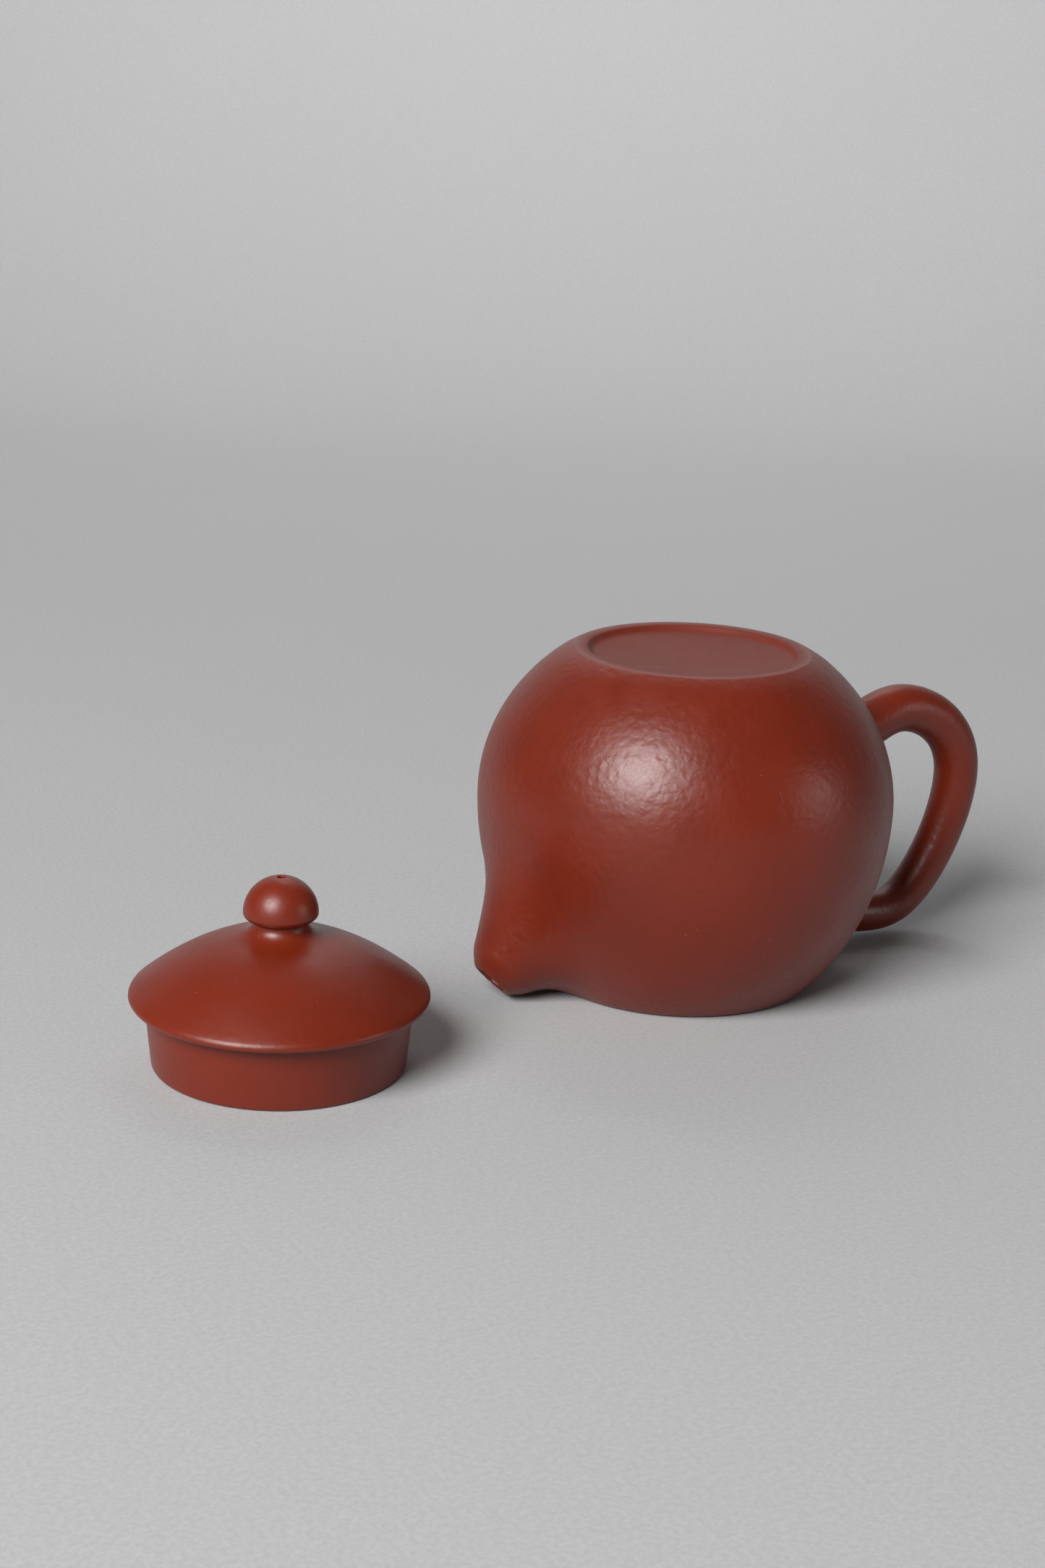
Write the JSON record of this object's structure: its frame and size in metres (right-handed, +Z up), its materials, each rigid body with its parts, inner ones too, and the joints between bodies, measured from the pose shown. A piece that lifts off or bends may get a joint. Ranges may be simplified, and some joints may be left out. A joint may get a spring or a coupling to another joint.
{
  "type": "clay teapot",
  "caption": "Small round clay teapot turned upside down on its mouth rim, with a stubby spout, an ear-shaped loop handle and a pressed-in base, beside its domed, knobbed lid.",
  "frame": {"origin": "on the table, at the middle of the footprint box of the upturned pot and its lid", "axes": "+Z up, +X from the lid and the spout towards the handle, +Y away from the side that the lid stands a little to"},
  "size_m": [0.187, 0.08, 0.0646],
  "materials": {
    "red_clay": "unglazed red-brown stoneware, burnished to a satin sheen with a faint orange-peel texture"
  },
  "bodies": {
    "pot": {"body_wall": "red_clay", "base_disc": "red_clay", "shoulder_ring": "red_clay", "mouth_collar": "red_clay", "spout": "red_clay", "handle": "red_clay"},
    "lid": {"lid_disc": "red_clay", "lid_skirt": "red_clay", "knob": "red_clay"}
  },
  "joints": [
    {"name": "lid_lift", "type": "slide", "parent": "pot", "child": "lid", "axis": [0, 0, 1], "range_m": [0, 0.09]}
  ]
}
